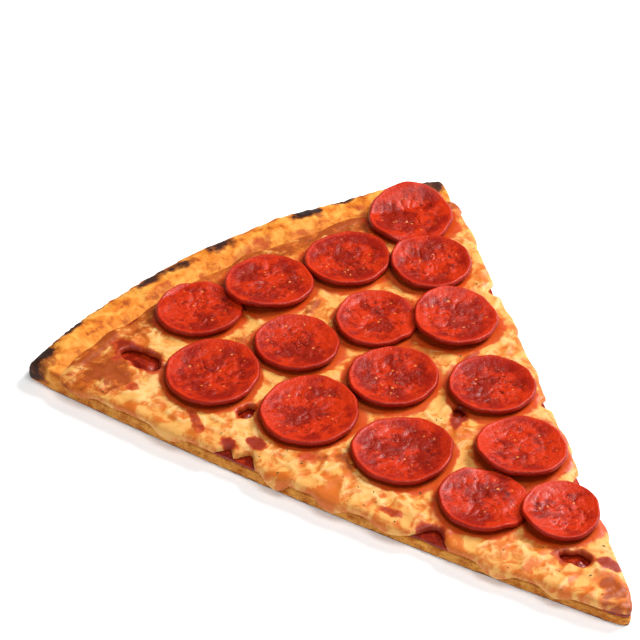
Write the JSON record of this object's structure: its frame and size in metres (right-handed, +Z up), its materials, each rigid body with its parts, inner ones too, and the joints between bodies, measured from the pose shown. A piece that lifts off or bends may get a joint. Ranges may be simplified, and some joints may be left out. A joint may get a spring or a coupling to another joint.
{
  "type": "new york-style pizza slice",
  "caption": "A long thin wedge of pizza with a low browned rim, tomato sauce, melted cheese and round slices of cupped pepperoni on top",
  "frame": {"origin": "middle of the slice's length and width, on the flat underside that it rests on", "axes": "+Y runs from the tip to the outer rim of crust, +Z is up through the toppings, +X is to the right seen from above with the rim at the top"},
  "size_m": [0.1922, 0.2488, 0.0157],
  "materials": {
    "dough": "baked bread, dry and matte",
    "sauce": "wet tomato sauce",
    "cheese": "melted, a little oily",
    "pepperoni": "cured meat with an oily sheen"
  },
  "bodies": {
    "root": {"dough": "dough", "sauce": "sauce", "cheese": "cheese", "pepperoni_01": "pepperoni", "pepperoni_02": "pepperoni", "pepperoni_03": "pepperoni", "pepperoni_04": "pepperoni", "pepperoni_05": "pepperoni", "pepperoni_06": "pepperoni", "pepperoni_07": "pepperoni", "pepperoni_08": "pepperoni", "pepperoni_09": "pepperoni", "pepperoni_10": "pepperoni", "pepperoni_11": "pepperoni", "pepperoni_12": "pepperoni", "pepperoni_13": "pepperoni", "pepperoni_14": "pepperoni", "pepperoni_15": "pepperoni", "pepperoni_16": "pepperoni"}
  },
  "joints": []
}
